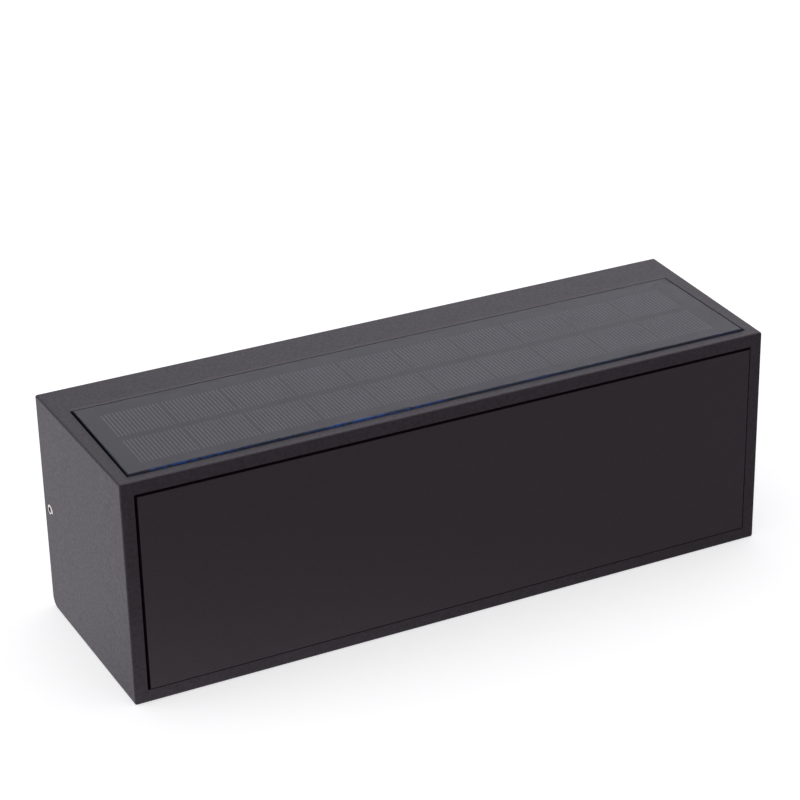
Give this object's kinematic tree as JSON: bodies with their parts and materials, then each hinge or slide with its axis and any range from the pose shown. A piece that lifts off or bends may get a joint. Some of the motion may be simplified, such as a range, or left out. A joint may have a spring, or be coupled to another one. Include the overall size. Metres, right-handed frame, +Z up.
{
  "type": "solar wall light",
  "caption": "Oblong solar wall light with a panel in its top, a flush front plate, a light window and power button in its underside, on a wall bracket held by grub screws.",
  "frame": {"origin": "middle of the wall bracket's back face, on the wall", "axes": "+X along the light to its right end seen from the front, +Y into the wall, +Z up"},
  "size_m": [0.2642, 0.082, 0.0895],
  "materials": {
    "housing_coat": "matte",
    "plate_coat": "matte",
    "seal_rubber": "matte",
    "foam_tape": "matte",
    "panel_board": "matte",
    "solar_cell": "satin",
    "encapsulant": "satin",
    "matt_film": "satin",
    "opal_diffuser": "satin",
    "white_reflector": "gloss",
    "white_board": "satin",
    "led": "satin",
    "bare_aluminium": "satin",
    "cover_plastic": "matte",
    "holder_plastic": "satin",
    "cell_sleeve": "satin",
    "nickel_contact": "satin",
    "circuit_board": "satin",
    "connector_plastic": "satin",
    "component": "matte",
    "button_plastic": "satin",
    "zinc_steel": "satin",
    "stainless": "satin",
    "red_wire": "satin",
    "black_wire": "satin"
  },
  "bodies": {
    "bracket": {"wall_bracket": "zinc_steel"},
    "light": {"battery_cell_lower": "cell_sleeve", "battery_cell_upper": "cell_sleeve", "battery_contacts": "nickel_contact", "battery_holder": "holder_plastic", "battery_lead_black": "black_wire", "battery_lead_red": "red_wire", "board_components": "component", "board_connectors": "connector_plastic", "board_screws": "stainless", "button_seal": "seal_rubber", "control_board": "circuit_board", "diffuser": "opal_diffuser", "diffuser_gasket": "seal_rubber", "front_gasket": "seal_rubber", "front_plate": "plate_coat", "front_plate_screws": "stainless", "front_plate_washers": "stainless", "holder_screws": "stainless", "housing": "housing_coat", "led_board": "white_board", "led_lead_black": "black_wire", "led_lead_red": "red_wire", "led_plate": "bare_aluminium", "led_plate_screws": "stainless", "leds": "led", "panel_grommet": "seal_rubber", "panel_lead_black": "black_wire", "panel_lead_red": "red_wire", "panel_tape": "foam_tape", "power_switch": "component", "rear_cover": "cover_plastic", "rear_cover_screws": "stainless", "rear_gasket": "seal_rubber", "reflector": "white_reflector", "solar_board": "panel_board", "solar_cells": "solar_cell", "solar_encapsulant": "encapsulant", "solar_film": "matt_film", "switch_board": "circuit_board", "switch_board_screws": "stainless", "switch_lead_black": "black_wire", "switch_lead_red": "red_wire"},
    "left_grub": {"left_grub_screw": "stainless"},
    "right_grub": {"right_grub_screw": "stainless"},
    "button": {"power_button": "button_plastic", "switch_plunger": "component"}
  },
  "joints": [
    {"name": "light_off_bracket", "type": "slide", "parent": "bracket", "child": "light", "axis": [0, -1, 0], "range_m": [0, 0.03]},
    {"name": "left_grub_back_out", "type": "slide", "parent": "light", "child": "left_grub", "axis": [-1, 0, 0], "range_m": [0, 0.003]},
    {"name": "right_grub_back_out", "type": "slide", "parent": "light", "child": "right_grub", "axis": [1, 0, 0], "range_m": [0, 0.003]},
    {"name": "button_press", "type": "slide", "parent": "light", "child": "button", "axis": [0, 0, 1], "range_m": [0, 0.0012], "stiffness_N_per_m": 800, "springref_m": -0.0006}
  ]
}
